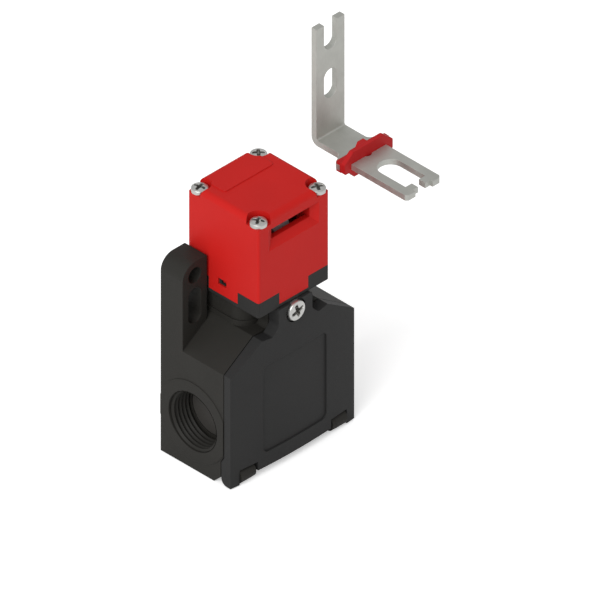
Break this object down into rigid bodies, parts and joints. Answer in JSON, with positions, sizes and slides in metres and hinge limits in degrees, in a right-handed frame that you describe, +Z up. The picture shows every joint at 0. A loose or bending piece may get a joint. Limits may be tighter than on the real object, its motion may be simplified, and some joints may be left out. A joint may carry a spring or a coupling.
{
  "type": "tongue interlock switch",
  "caption": "Guard-door tongue interlock switch: hinged front cover, side conduit entries, red cam head and a separate bent actuator with a windowed tongue.",
  "frame": {"origin": "on the rear mounting face, at the middle of its lower edge", "axes": "+Y out of the rear mounting face (the switch's front looks along -Y), +Z up towards the head, +X towards the right-hand conduit entry seen from the front"},
  "size_m": [0.0766, 0.045, 0.126],
  "materials": {
    "black_housing": "fine moulded",
    "black_cover": "fine moulded",
    "black_head": "fine moulded",
    "red_head": "fine moulded",
    "red_holder": "fine moulded",
    "black_rubber": "matt",
    "bright_screw": "satin",
    "inner_screw": "satin",
    "brass_bush": "turned",
    "turned_steel": "turned",
    "grey_cam": "satin",
    "spring_steel": "satin",
    "ivory_block": "fine moulded",
    "contact_brass": "satin",
    "zinc_clamp": "zinc plated",
    "white_carrier": "fine moulded",
    "satin_sheet": "satin"
  },
  "bodies": {
    "switch": {"housing": "black_housing", "head_base": "black_head", "head_shell": "red_head", "head_screws": "bright_screw", "base_screws": "inner_screw", "head_seal": "black_rubber", "cam_axle": "turned_steel", "plunger_bush": "brass_bush", "contact_block": "ivory_block", "fixed_contacts": "contact_brass", "terminal_clamps": "zinc_clamp", "terminal_screws": "zinc_clamp", "block_screws": "inner_screw", "bridge_spring": "spring_steel", "plunger_spring": "spring_steel"},
    "cover": {"cover": "black_cover", "cover_seal": "black_rubber", "cover_screw": "bright_screw"},
    "cam": {"cam_wheel": "grey_cam"},
    "plunger": {"plunger": "turned_steel"},
    "slider": {"contact_carrier": "white_carrier", "bridge_contacts": "contact_brass"},
    "actuator": {"actuator_blade": "satin_sheet", "actuator_holder": "red_holder"}
  },
  "joints": [
    {"name": "cover_hinge", "type": "hinge", "parent": "switch", "child": "cover", "pos_m": [0, -0.0279, 0.00265], "axis": [1, 0, 0], "range_deg": [0, 110]},
    {"name": "cam_turn", "type": "hinge", "parent": "switch", "child": "cam", "pos_m": [0, -0.0152, 0.0765], "axis": [-1, 0, 0], "range_deg": [0, 70]},
    {"name": "plunger_slide", "type": "slide", "parent": "switch", "child": "plunger", "axis": [0, 0, 1], "range_m": [0, 0.003], "deforming": ["plunger_spring"]},
    {"name": "contact_slide", "type": "slide", "parent": "switch", "child": "slider", "axis": [0, 0, 1], "range_m": [0, 0.003], "deforming": ["bridge_spring"]},
    {"name": "actuator_slide", "type": "slide", "parent": "switch", "child": "actuator", "axis": [0, -1, 0], "range_m": [0, 0.024]}
  ],
  "couplings": [
    {"joint": "cam_turn", "follows": "plunger_slide", "rad_per_m": 407.24},
    {"joint": "contact_slide", "follows": "plunger_slide", "ratio": 1}
  ]
}
